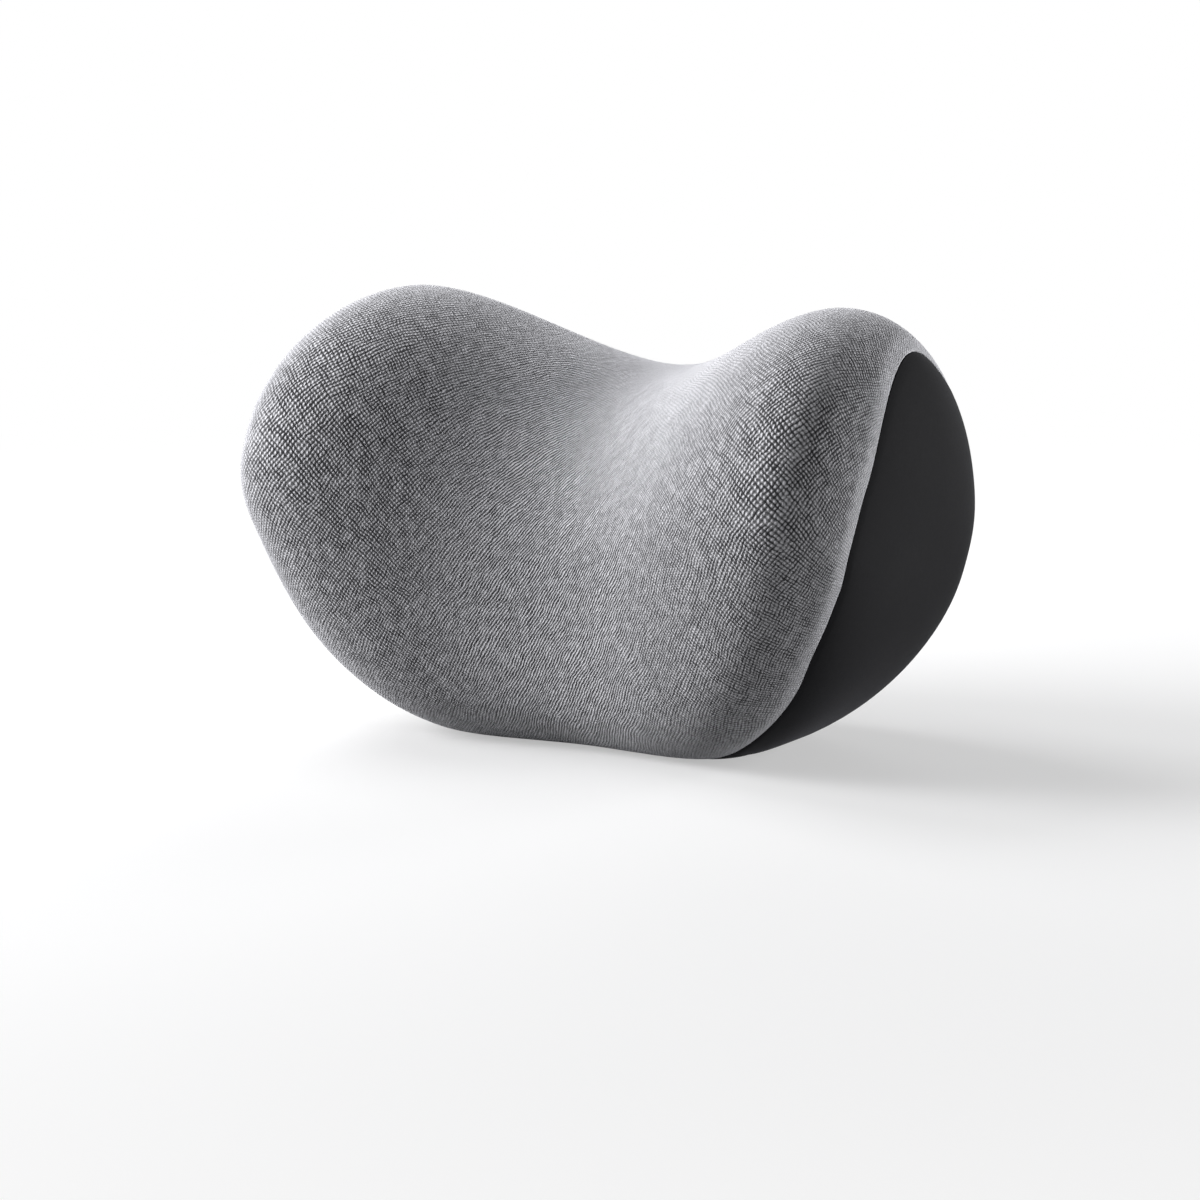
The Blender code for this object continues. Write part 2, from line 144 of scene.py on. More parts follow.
def underShare(t):  # the side panels run in under the base
    t = t % (2.0 * math.pi)
    start = seams["underStart"]
    into = min(max((t - start) / (seams["front"] - start), 0.0), 1.0) ** seams["underPower"]
    return into * (1.0 - ease((t - seams["rear"] + seams["underRear"]) / seams["underReturn"]))


def sideSeam(t):
    swing = 1.0 - math.cos(t - seams["sideAngle"])
    turn = 1.0 - math.cos(seams["sideTurn"])
    tip, out = seams["sideTip"], seams["sideOut"]
    if swing < turn:
        share = 0.65 * swing / turn + 0.4 * ease((swing / turn - 0.2) / 0.7)
        place = out - (out - tip) * (share - press(share - 1.0, seams["tipBlend"]))
    else:
        place = tip + (seams["sideRear"] - tip) * ease((swing - turn) / seams["sideRise"])
    return place - seams["underReach"] * underShare(t)


def panelAngles(kind, p):
    crown = seams["crown"] + seams["crownDrop"] * p * p
    front = seams["front"] - seams["frontCorner"] * abs(p) ** 12
    return {"front": (crown, front), "base": (front, seams["rear"]),
            "back": (seams["rear"], crown + 2.0 * math.pi)}[kind]


def spread(s):  # columns lie closer together near the ends
    return math.sin(0.5 * math.pi * 0.93 * s) / math.sin(0.5 * math.pi * 0.93)


# Materials
def addNode(tree, kind, values=None, **settings):
    node = tree.nodes.new(kind)
    for name, value in settings.items():
        setattr(node, name, value)
    for name, value in (values or {}).items():
        if isinstance(value, bpy.types.NodeSocket):
            tree.links.new(value, node.inputs[name])
        else:
            node.inputs[name].default_value = value
    return node


def addMath(tree, operation, a, b=0.0, clamp=False):
    node = tree.nodes.new("ShaderNodeMath")
    node.operation = operation
    node.use_clamp = clamp
    for socket, value in zip(node.inputs, (a, b)):
        if isinstance(value, bpy.types.NodeSocket):
            tree.links.new(value, socket)
        else:
            socket.default_value = value
    return node.outputs[0]


def addMix(tree, factor, first, second):
    node = tree.nodes.new("ShaderNodeMix")
    node.data_type = "RGBA"
    for socket, value in ((node.inputs[0], factor), (node.inputs[6], first), (node.inputs[7], second)):
        if isinstance(value, bpy.types.NodeSocket):
            tree.links.new(value, socket)
        elif isinstance(value, tuple):
            socket.default_value = (value[0], value[1], value[2], 1.0)
        else:
            socket.default_value = value
    return node.outputs[2]


def newGroup(name, inputs, outputs):
    group = bpy.data.node_groups.new(name, "ShaderNodeTree")
    for label, kind, start in inputs:
        socket = group.interface.new_socket(name=label, in_out="INPUT", socket_type=kind)
        if start is not None:
            socket.default_value = start
    for label, kind in outputs:
        group.interface.new_socket(name=label, in_out="OUTPUT", socket_type=kind)
    return group, group.nodes.new("NodeGroupInput"), group.nodes.new("NodeGroupOutput")


def makeThreadRows():  # parallel ribs of thread that waver a little, and where they are pressed flat
    group, given, result = newGroup(
        "threadRows",
        (("Vector", "NodeSocketVector", None), ("Pitch", "NodeSocketFloat", 0.002),
         ("Angle", "NodeSocketFloat", 0.0), ("Waver", "NodeSocketFloat", 0.0005),
         ("Waver Size", "NodeSocketFloat", 0.006), ("Run", "NodeSocketFloat", 0.008),
         ("Shift", "NodeSocketFloat", 0.0)),
        (("Ridge", "NodeSocketFloat"), ("Broken", "NodeSocketFloat")))
    pitch = given.outputs["Pitch"]
    waverScale = addMath(group, "DIVIDE", 1.0, given.outputs["Waver Size"])
    moved = addNode(group, "ShaderNodeVectorMath", {0: given.outputs["Vector"]}, operation="ADD")
    group.links.new(given.outputs["Shift"], moved.inputs[1])
    noise = addNode(group, "ShaderNodeTexNoise", {"Vector": moved.outputs[0], "Scale": waverScale,
                                                  "Detail": 2.0, "Roughness": 0.5})
    centred = addNode(group, "ShaderNodeVectorMath", {0: noise.outputs["Color"], 1: (0.5, 0.5, 0.5)},
                      operation="SUBTRACT")
    scaled = addNode(group, "ShaderNodeVectorMath", {0: centred.outputs[0], "Scale": given.outputs["Waver"]},
                     operation="SCALE")
    warped = addNode(group, "ShaderNodeVectorMath", {0: given.outputs["Vector"], 1: scaled.outputs[0]},
                     operation="ADD")
    turned = addNode(group, "ShaderNodeVectorRotate",
                     {"Vector": warped.outputs[0], "Angle": given.outputs["Angle"]}, rotation_type="Z_AXIS")
    apart = addNode(group, "ShaderNodeSeparateXYZ", {0: turned.outputs[0]})
    phase = addMath(group, "DIVIDE", apart.outputs[0], pitch)
    wave = addMath(group, "SINE", addMath(group, "MULTIPLY", phase, 2.0 * math.pi))
    ridge = addMath(group, "MULTIPLY_ADD", wave, 0.5)
    ridge.node.inputs[2].default_value = 0.5
    drawn = addNode(group, "ShaderNodeCombineXYZ", {
        0: addMath(group, "MULTIPLY", phase, 0.55), 1: addMath(group, "DIVIDE", apart.outputs[1], given.outputs["Run"]),
        2: given.outputs["Shift"]})
    runs = addNode(group, "ShaderNodeTexNoise", {"Vector": drawn.outputs[0], "Scale": 1.0, "Detail": 2.0,
                                                 "Roughness": 0.6})
    broken = addNode(group, "ShaderNodeMapRange", {"Value": runs.outputs["Fac"], "From Min": 0.36, "From Max": 0.62},
                     interpolation_type="SMOOTHSTEP")
    group.links.new(ridge, result.inputs["Ridge"])
    group.links.new(broken.outputs[0], result.inputs["Broken"])
    return group


def makePatches():  # slow change over the cloth, between 0 and 1
    group, given, result = newGroup(
        "slowPatches",
        (("Vector", "NodeSocketVector", None), ("Size", "NodeSocketFloat", 0.02),
         ("Edge", "NodeSocketFloat", 0.15)),
        (("Mask", "NodeSocketFloat"),))
    scale = addMath(group, "DIVIDE", 1.0, given.outputs["Size"])
    noise = addNode(group, "ShaderNodeTexNoise", {"Vector": given.outputs["Vector"], "Scale": scale,
                                                  "Detail": 2.0, "Roughness": 0.55})
    low = addMath(group, "SUBTRACT", 0.5, given.outputs["Edge"])
    high = addMath(group, "ADD", 0.5, given.outputs["Edge"])
    ramp = addNode(group, "ShaderNodeMapRange", {"Value": noise.outputs["Fac"], "From Min": low,
                                                 "From Max": high}, interpolation_type="SMOOTHSTEP")
    group.links.new(ramp.outputs[0], result.inputs["Mask"])
    return group


def makeNap():  # short fibres: fine speckle in colour and height
    group, given, result = newGroup(
        "fibreNap",
        (("Vector", "NodeSocketVector", None), ("Size", "NodeSocketFloat", 0.0006),
         ("Stretch", "NodeSocketVector", (1.0, 1.0, 1.0))),
        (("Height", "NodeSocketFloat"), ("Speckle", "NodeSocketFloat")))
    drawn = addNode(group, "ShaderNodeVectorMath", {0: given.outputs["Vector"], 1: given.outputs["Stretch"]},
                    operation="MULTIPLY")
    scale = addMath(group, "DIVIDE", 1.0, given.outputs["Size"])
    fine = addNode(group, "ShaderNodeTexNoise", {"Vector": drawn.outputs[0], "Scale": scale, "Detail": 3.0,
                                                 "Roughness": 0.65})
    coarse = addNode(group, "ShaderNodeTexNoise", {"Vector": given.outputs["Vector"],
                                                   "Scale": addMath(group, "MULTIPLY", scale, 0.3),
                                                   "Detail": 2.0})
    both = addMath(group, "MULTIPLY", fine.outputs["Fac"], addMath(group, "ADD", coarse.outputs["Fac"], 0.5))
    group.links.new(fine.outputs["Fac"], result.inputs["Height"])
    group.links.new(both, result.inputs["Speckle"])
    return group


threadRows, slowPatches, fibreNap = makeThreadRows(), makePatches(), makeNap()


def useGroup(tree, group, values):
    node = tree.nodes.new("ShaderNodeGroup")
    node.node_tree = group
    for name, value in values.items():
        if isinstance(value, bpy.types.NodeSocket):
            tree.links.new(value, node.inputs[name])
        else:
            node.inputs[name].default_value = value
    return node.outputs


def newMaterial(name, settings):
    material = bpy.data.materials.new(name)
    material.use_nodes = True
    tree = material.node_tree
    shader = tree.nodes["Principled BSDF"]
    for socket, value in settings.items():
        shader.inputs[socket].default_value = value
    return material, tree, shader


def addBump(tree, shader, height, distance, strength):
    bump = addNode(tree, "ShaderNodeBump", {"Height": height, "Distance": distance, "Strength": strength})
    tree.links.new(bump.outputs[0], shader.inputs["Normal"])
    return bump


knit = {
    # gap: the colour between the threads, partly the knit's darker depth, mostly painted shade in the gaps
    "thread": (0.76, 0.76, 0.80), "gap": (0.030, 0.030, 0.034), "pitch": 0.00134,
    "firstAngle": math.radians(-33.0), "secondAngle": math.radians(50.0),
    "bend": 0.0045, "bendSize": 0.022, "waver": 0.0012, "waverSize": 0.0026, "run": 0.006, "leastShare": 0.7,
    "crossedLift": 0.85, "relief": 0.00075, "napSize": 0.0008, "napRelief": 0.35, "sheen": 0.5, "sheenRoughness": 0.35,
    "brushedGrainAndPaintedSheen": (0.92, 0.92, 0.97), "paintedSheenShare": 0.9, "paintedSheenPower": 3.4,  # painted sheen: a pale colour painted where the cloth is seen edge on
}


def makeKnit():
    material, tree, shader = newMaterial("greyKnit", {
        "Roughness": 0.95, "Specular IOR Level": 0.08, "Sheen Weight": knit["sheen"],
        "Sheen Roughness": knit["sheenRoughness"], "Sheen Tint": (0.96, 0.96, 1.0, 1.0)})
    cloth = addNode(tree, "ShaderNodeUVMap", uv_map="cloth").outputs[0]
    slow = addNode(tree, "ShaderNodeTexNoise", {"Vector": cloth, "Scale": 1.0 / knit["bendSize"], "Detail": 1.0})
    centred = addNode(tree, "ShaderNodeVectorMath", {0: slow.outputs["Color"], 1: (0.5, 0.5, 0.5)},
                      operation="SUBTRACT").outputs[0]
    bent = addNode(tree, "ShaderNodeVectorMath", {0: centred, "Scale": knit["bend"]}, operation="SCALE").outputs[0]
    cloth = addNode(tree, "ShaderNodeVectorMath", {0: cloth, 1: bent}, operation="ADD").outputs[0]
    crossed = addNode(tree, "ShaderNodeAttribute", attribute_name="crossed").outputs["Fac"]
    smoothed = addNode(tree, "ShaderNodeAttribute", attribute_name="smoothed").outputs["Fac"]
    raised = addMath(tree, "SUBTRACT", 1.0, smoothed)
    rows = []
    for angle, shift, amount in ((knit["firstAngle"], 0.0, 1.0), (knit["secondAngle"], 0.37, crossed)):
        row = useGroup(tree, threadRows, {
            "Vector": cloth, "Pitch": knit["pitch"], "Angle": angle, "Waver": knit["waver"],
            "Waver Size": knit["waverSize"], "Run": knit["run"], "Shift": shift})
        whole = addNode(tree, "ShaderNodeMapRange", {"Value": row["Broken"], "To Min": knit["leastShare"]}).outputs[0]
        share = addMath(tree, "MULTIPLY", addMath(tree, "MULTIPLY", whole, raised), amount)
        rows.append(addMath(tree, "SUBTRACT", 1.0, addMath(
            tree, "MULTIPLY", share, addMath(tree, "SUBTRACT", 1.0, row["Ridge"]))))
    weave = addMath(tree, "MULTIPLY", rows[0], rows[1])
    nap = useGroup(tree, fibreNap, {"Vector": cloth, "Size": knit["napSize"]})
    height = addMath(tree, "ADD", weave, addMath(tree, "MULTIPLY", nap["Height"], knit["napRelief"]))
    lift = addMath(tree, "ADD", addMath(tree, "MULTIPLY", crossed, knit["crossedLift"]),
                   addMath(tree, "ADD", nap["Speckle"], 0.5))
    tone = addMath(tree, "MULTIPLY", weave, lift, clamp=True)
    # painted sheen: the base colour turns pale where the surface is seen edge on
    facing = addNode(tree, "ShaderNodeLayerWeight", {"Blend": 0.5}).outputs["Facing"]
    brushedGrainAndPaintedSheen = addMath(tree, "MULTIPLY", addMath(tree, "POWER", facing, knit["paintedSheenPower"]), knit["paintedSheenShare"])
    # painted shade: the gaps between the threads take the dark gap colour
    woven = addMix(tree, tone, knit["gap"], knit["thread"])
    tree.links.new(addMix(tree, brushedGrainAndPaintedSheen, woven, knit["brushedGrainAndPaintedSheen"]), shader.inputs["Base Color"])
    addBump(tree, shader, height, knit["relief"], 1.0)
    return material


blackCloth = {"colour": (0.013, 0.013, 0.0143), "worn": (0.022, 0.022, 0.0238), "grain": 0.0007, "relief": 0.00008}


def makeBlackCloth():
    material, tree, shader = newMaterial("blackCloth", {
        "Roughness": 0.9, "Specular IOR Level": 0.06, "Sheen Weight": 0.06, "Sheen Roughness": 0.3,
        "Sheen Tint": (0.9, 0.9, 1.0, 1.0)})
    place = addNode(tree, "ShaderNodeTexCoord").outputs["Object"]
    nap = useGroup(tree, fibreNap, {"Vector": place, "Size": blackCloth["grain"]})
    slow = useGroup(tree, slowPatches, {"Vector": place, "Size": 0.05, "Edge": 0.3})["Mask"]
    tone = addMath(tree, "MULTIPLY", nap["Speckle"], addMath(tree, "MULTIPLY_ADD", slow, 0.5), clamp=True)
    tone.node.inputs[1].default_value = 0.7
    tree.links.new(addMix(tree, tone, blackCloth["colour"], blackCloth["worn"]), shader.inputs["Base Color"])
    addBump(tree, shader, nap["Height"], blackCloth["relief"], 0.6)
    return material


def makeFoam():
    material, tree, shader = newMaterial("slowFoam", {"Roughness": 0.95, "Specular IOR Level": 0.2})
    place = addNode(tree, "ShaderNodeTexCoord").outputs["Object"]
    cells = addNode(tree, "ShaderNodeTexVoronoi", {"Vector": place, "Scale": 700.0})
    slow = useGroup(tree, slowPatches, {"Vector": place, "Size": 0.04, "Edge": 0.3})["Mask"]
    tone = addMath(tree, "ADD", cells.outputs["Distance"], addMath(tree, "MULTIPLY", slow, 0.3), clamp=True)
    tree.links.new(addMix(tree, tone, (0.66, 0.60, 0.44), (0.88, 0.84, 0.68)), shader.inputs["Base Color"])
    addBump(tree, shader, cells.outputs["Distance"], 0.0004, 0.7)
    return material


webbing = {"colour": (0.028, 0.028, 0.031), "valley": (0.010, 0.010, 0.011), "weft": 0.0011, "relief": 0.00012}


def makeWebbing():  # the ribs along the strap are in its mesh, the crossing threads are here
    material, tree, shader = newMaterial("elasticWebbing", {
        "Roughness": 0.8, "Specular IOR Level": 0.3, "Sheen Weight": 0.2, "Sheen Roughness": 0.4})
    place = addNode(tree, "ShaderNodeTexCoord").outputs["Object"]
    weft = useGroup(tree, threadRows, {"Vector": place, "Pitch": webbing["weft"], "Waver": 0.0002,
                                       "Waver Size": 0.002})["Ridge"]
    nap = useGroup(tree, fibreNap, {"Vector": place, "Size": 0.0005})
    tone = addMath(tree, "MULTIPLY", weft, addMath(tree, "ADD", nap["Speckle"], 0.4), clamp=True)
    tree.links.new(addMix(tree, tone, webbing["valley"], webbing["colour"]), shader.inputs["Base Color"])
    addBump(tree, shader, addMath(tree, "ADD", weft, nap["Height"]), webbing["relief"], 0.8)
    return material


def makeTwill(name, colour, valley, pitch, relief):  # diagonal weave of tapes and patches, laid in X and Z
    material, tree, shader = newMaterial(name, {
        "Roughness": 0.85, "Specular IOR Level": 0.3, "Sheen Weight": 0.15, "Sheen Roughness": 0.4})
    place = addNode(tree, "ShaderNodeTexCoord").outputs["Object"]
    parts = addNode(tree, "ShaderNodeSeparateXYZ", {0: place})
    flat = addNode(tree, "ShaderNodeCombineXYZ", {0: parts.outputs[0], 1: parts.outputs[2]}).outputs[0]
    rows = useGroup(tree, threadRows, {"Vector": flat, "Pitch": pitch, "Angle": math.radians(38.0),
                                       "Waver": 0.0001, "Waver Size": 0.002})["Ridge"]
    ends = useGroup(tree, threadRows, {"Vector": flat, "Pitch": pitch * 0.8, "Angle": math.radians(90.0),
                                       "Waver": 0.0001, "Waver Size": 0.002})["Ridge"]
    weave = addMath(tree, "MULTIPLY", rows, addMath(tree, "ADD", addMath(tree, "MULTIPLY", ends, 0.5), 0.5))
    nap = useGroup(tree, fibreNap, {"Vector": place, "Size": 0.0005})
    tone = addMath(tree, "MULTIPLY", weave, addMath(tree, "ADD", nap["Speckle"], 0.5), clamp=True)
    tree.links.new(addMix(tree, tone, valley, colour), shader.inputs["Base Color"])
    addBump(tree, shader, weave, relief, 0.9)
    return material


def makeThread():
    material, tree, shader = newMaterial("sewingThread", {
        "Roughness": 0.55, "Specular IOR Level": 0.45, "Sheen Weight": 0.2, "Sheen Roughness": 0.3})
    place = addNode(tree, "ShaderNodeTexCoord").outputs["Object"]
    twist = useGroup(tree, threadRows, {"Vector": place, "Pitch": 0.0004, "Angle": math.radians(40.0),
                                        "Waver": 0.0001, "Waver Size": 0.001})["Ridge"]
    tree.links.new(addMix(tree, twist, (0.03, 0.03, 0.033), (0.075, 0.075, 0.08)), shader.inputs["Base Color"])
    addBump(tree, shader, twist, 0.00006, 0.8)
    return material


def makeNylon():
    material, tree, shader = newMaterial("blackNylon", {"Roughness": 0.38, "Specular IOR Level": 0.5})
    place = addNode(tree, "ShaderNodeTexCoord").outputs["Object"]
    slow = useGroup(tree, slowPatches, {"Vector": place, "Size": 0.002, "Edge": 0.3})["Mask"]
    tree.links.new(addMix(tree, slow, (0.020, 0.020, 0.022), (0.040, 0.040, 0.043)), shader.inputs["Base Color"])
    tree.links.new(addMath(tree, "ADD", addMath(tree, "MULTIPLY", slow, 0.15), 0.32), shader.inputs["Roughness"])
    return material


def makeNickel():
    material, tree, shader = newMaterial("darkNickel", {"Metallic": 1.0, "Roughness": 0.3})
    place = addNode(tree, "ShaderNodeTexCoord").outputs["Object"]
    brushedGrainAndPaintedSheen = useGroup(tree, fibreNap, {"Vector": place, "Size": 0.0006, "Stretch": (0.12, 1.0, 1.0)})
    wear = useGroup(tree, slowPatches, {"Vector": place, "Size": 0.003, "Edge": 0.25})["Mask"]
    tree.links.new(addMix(tree, wear, (0.20, 0.20, 0.21), (0.34, 0.34, 0.35)), shader.inputs["Base Color"])
    rough = addMath(tree, "ADD", addMath(tree, "MULTIPLY", brushedGrainAndPaintedSheen["Height"], 0.25), 0.18)
    tree.links.new(rough, shader.inputs["Roughness"])
    addBump(tree, shader, brushedGrainAndPaintedSheen["Height"], 0.00003, 0.5)
    return material


finishes = {
    "grey_knit": makeKnit(), "black_fabric": makeBlackCloth(), "foam": makeFoam(),
    "zip_tape": makeTwill("zipTape", (0.028, 0.028, 0.030), (0.008, 0.008, 0.009), 0.0011, 0.00012),
    "zip_nylon": makeNylon(), "zip_metal": makeNickel(), "elastic_webbing": makeWebbing(),
    "strap_patch": makeTwill("strapPatch", (0.040, 0.040, 0.043), (0.014, 0.014, 0.015), 0.0009, 0.0001),
}
sewingThread = makeThread()
print("pillow: materials ready,", len(finishes) + 1)


# Finishing a piece
def finishPiece(name, bm, slot, body, replaced=(), material=None, smoothAngle=None, turn=True):
    if turn:
        bmesh.ops.recalc_face_normals(bm, faces=bm.faces)
        if bm.calc_volume(signed=True) < 0.0:
            bmesh.ops.reverse_faces(bm, faces=bm.faces)
    mesh = bpy.data.meshes.new(name)
    bm.to_mesh(mesh)
    bm.free()
    mesh.shade_smooth()
    if smoothAngle:
        mesh.set_sharp_from_angle(angle=math.radians(smoothAngle))
    piece = bpy.data.objects.new(name, mesh)
    bpy.context.scene.collection.objects.link(piece)
    mesh.materials.append(material or finishes[slot])
    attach(piece, body)
    if replaced:
        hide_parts(*replaced)
    return piece


def addThickness(piece, thickness):
    wall = piece.modifiers.new("Cloth thickness", "SOLIDIFY")
    wall.thickness = thickness
    wall.offset = -1.0
    wall.use_even_offset = False


# Sewn cover
# Each panel rolls over at its seam: (distance from the seam, drop under the surface)
def rimSteps(roll, tuck, lower):
    steps = [(0.0, tuck), (0.0, roll + lower)]
    for angle in (25.0, 50.0, 72.0):
        a = math.radians(angle)
        steps.append((roll * (1.0 - math.cos(a)), lower + roll * (1.0 - math.sin(a))))
    steps += [(roll, lower), (roll * 2.2, lower * 0.75), (roll * 4.5, lower * 0.35)]
    return steps


cover = {
    "thickness": 0.0007, "tuck": 0.0026, "fill": 0.9,
    "pullIn": 0.00035, "pullWidth": 0.005,
    "frontColumns": 168, "frontRows": 130, "baseRows": 46, "backRows": 64, "sideRings": 44, "sideSpokes": 168,
    "greyRoll": 0.0008, "greyLower": 0.0, "blackRoll": 0.0007, "blackLower": 0.00035,
}


def edgePlace(index, count, rim):  # -1 and 1 in the rolled edge, 0 between
    last = len(rim) - 1
    if index < last:
        return -1, rim[index][0], rim[index][1]
    if count - index < last:
        return 1, rim[count - index][0], rim[count - index][1]
    return 0, (index - last) / (count - 2.0 * last), 0.0


def sideRate(t):  # metres of cloth for a whole half width, measured at the side seam
    outer = sideSeam(t)
    return (skin(outer, t) - skin(outer * 0.996, t)).length / 0.004


def endRate(u, t):  # metres of cloth per radian
    return (skin(u, t + 0.004) - skin(u, t - 0.004)).length / 0.008


def seamPull(distance):  # the cloth sinks a little towards a seam
    return cover["pullIn"] * math.exp(-distance / cover["pullWidth"])


def panelPoint(kind, i, j, columns, rows, rim):
    inset = rim[-1][0]
    side, across, sideDrop = edgePlace(i, columns, rim)
    end, along, endDrop = edgePlace(j, rows, rim)
    whole = spread(2.0 * across - 1.0) if side == 0 else float(side)
    p = whole
    for _ in range(2):
        first, last = panelAngles(kind, p)
        firstRate = endRate(p * sideSeam(first), first)
        lastRate = endRate(p * sideSeam(last), last)
        if end == 0:
            low, high = first + inset / firstRate, last - inset / lastRate
            t = low + (high - low) * along
        else:
            t = first + along / firstRate if end < 0 else last - along / lastRate
        rate = sideRate(t)
        p = whole * (1.0 - inset / rate) if side == 0 else side * (1.0 - across / rate)
    fromSide = (1.0 - abs(p)) * rate
    fromEnd = min((t - first) * firstRate, (last - t) * lastRate)
    drop = max(sideDrop, endDrop) + seamPull(fromSide) + seamPull(fromEnd)
    return wrap(p * sideSeam(t), t, drop), p, t, min(fromSide, fromEnd)


def coverPanel(kind, columns, rows, rim):
    bm = bmesh.new()
    bmesh.ops.create_grid(bm, x_segments=columns, y_segments=rows, size=1.0)
    crossed, smoothed = (bm.verts.layers.float.new(name) for name in ("crossed", "smoothed"))
    for vert in bm.verts:
        i, j = round((vert.co.x + 1.0) * 0.5 * columns), round((vert.co.y + 1.0) * 0.5 * rows)
        vert.co, p, t, fromSeam = panelPoint(kind, i, j, columns, rows, rim)
        vert[crossed] = 0.12 + 0.88 * ease((abs(p) - 0.12) / 0.38)
        stretched = 0.55 * math.exp(-((p - 0.04) / 0.30) ** 2) * ease((t - 1.1) / 0.4) * (1.0 - ease((t - 1.7) / 1.4))
        besideSeam = 0.5 - 0.5 * ease((fromSeam - 0.003) / 0.012)
        # along the seam the weave is pressed smooth, and this also paints a pale highlight line on the rolled edge
        seamFoldAndPaintedHighlight = 0.8 - 0.8 * ease((fromSeam - 0.0006) / 0.0010)
        vert[smoothed] = max(stretched, besideSeam, seamFoldAndPaintedHighlight)
    return bm


def layCloth(piece):  # the map of the cloth is in metres, with the panel's width along its first axis
    bpy.context.view_layer.objects.active = piece
    piece.select_set(True)
    bpy.ops.object.mode_set(mode="EDIT")
    bpy.ops.mesh.select_all(action="SELECT")
    bpy.ops.uv.unwrap(method="CONFORMAL", margin=0.0)
    bpy.ops.object.mode_set(mode="OBJECT")
    piece.select_set(False)
    mesh = piece.data
    layer = mesh.uv_layers.active
    layer.name = "cloth"
    solidArea, flatArea, sideways = 0.0, 0.0, Vector((0.0, 0.0))
    for face in mesh.polygons:
        places = [layer.uv[k].vector.copy() for k in face.loop_indices]
        points = [mesh.vertices[v].co for v in face.vertices]
        solidArea += face.area
        flatArea += abs((places[2] - places[0]).cross(places[3] - places[1])) * 0.5
        if abs(face.center.x) < 0.03:
            for k in range(4):
                sideways += (places[k] - places[k - 1]) * (points[k].x - points[k - 1].x)
    scale = math.sqrt(solidArea / flatArea) / sideways.length
    for item in layer.uv:
        place = item.vector.copy()
        item.vector = (scale * place.dot(sideways), scale * -sideways.cross(place))


def sidePanel(side, rim):
    rings, spokes = cover["sideRings"], cover["sideSpokes"]
    bm = bmesh.new()
    spoke = [bm.verts.new((ring / rings, 0.0, 0.0)) for ring in range(rings + 1)]
    edges = [bm.edges.new(pair) for pair in zip(spoke, spoke[1:])]
    bmesh.ops.spin(bm, geom=spoke + edges, cent=(0.0, 0.0, 0.0), axis=(0.0, 0.0, 1.0),
                   angle=2.0 * math.pi, steps=spokes, use_merge=True)
    bmesh.ops.remove_doubles(bm, verts=bm.verts[:], dist=0.0001)
    last, inset = len(rim) - 1, rim[-1][0]
    for vert in bm.verts:
        t = 2.0 * math.pi * round(math.atan2(vert.co.y, vert.co.x) / (2.0 * math.pi) * spokes) / spokes
        index = round(vert.co.xy.length * rings)
        outer = sideSeam(t)
        reach = endRound(outer, form["endShapeZ"])
        rate = (skin(outer, t) - skin(ringToU(reach * 0.996), t)).length / 0.004
        if rings - index < last:
            distance, drop = rim[rings - index]
            ring = reach * (1.0 - distance / rate)
        else:
            ring = reach * (1.0 - inset / rate) * (index / (rings - last)) ** 1.35
            distance, drop = (1.0 - ring / reach) * rate, 0.0
        vert.co = wrap(side * ringToU(ring), t, drop + seamPull(distance))
    return bm


def cutZipOpening(bm, low, high):
    near = [f for f in bm.faces if f.calc_center_median().y > low.y - 0.008
            and low.x - 0.008 < f.calc_center_median().x < high.x + 0.008
            and low.z - 0.008 < f.calc_center_median().z < high.z + 0.008]
    for corner, direction in ((low, (1, 0, 0)), (low, (0, 0, 1)), (high, (1, 0, 0)), (high, (0, 0, 1))):
        near = [f for f in near if f.is_valid]
        geom = list({v for f in near for v in f.verts}) + list({e for f in near for e in f.edges}) + near
        made = bmesh.ops.bisect_plane(bm, geom=geom, plane_co=corner, plane_no=direction)
        near = [g for g in made["geom"] if isinstance(g, bmesh.types.BMFace)]
    inside = [f for f in near if low.x < f.calc_center_median().x < high.x
              and low.z < f.calc_center_median().z < high.z]
    bmesh.ops.delete(bm, geom=inside, context="FACES")


zipParts = {
    "height": 0.048, "slotHeight": 0.022, "weltWidth": 0.0046, "weltProud": 0.00022, "weltCorner": 0.0016,
    "toothPitch": 0.0014, "toothWidth": 0.00058, "toothReach": 0.00055, "toothRound": 0.00018,
    "stitchPitch": 0.0030, "stitchLength": 0.0021, "stitchThick": 0.00045, "stitchInset": 0.0032,
    "tapeBead": 0.0002, "tapeTuck": 0.0022, "tapeCover": 0.0012, "archBar": 0.0010,
}
tapeLow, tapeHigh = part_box("zip_tape_upper")
backLow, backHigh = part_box("back_panel")
slotLow = Vector((tapeLow.x - 0.0003, backHigh.y, zipParts["height"] - 0.5 * zipParts["slotHeight"]))
slotHigh = Vector((tapeHigh.x + 0.0003, backHigh.y, zipParts["height"] + 0.5 * zipParts["slotHeight"]))


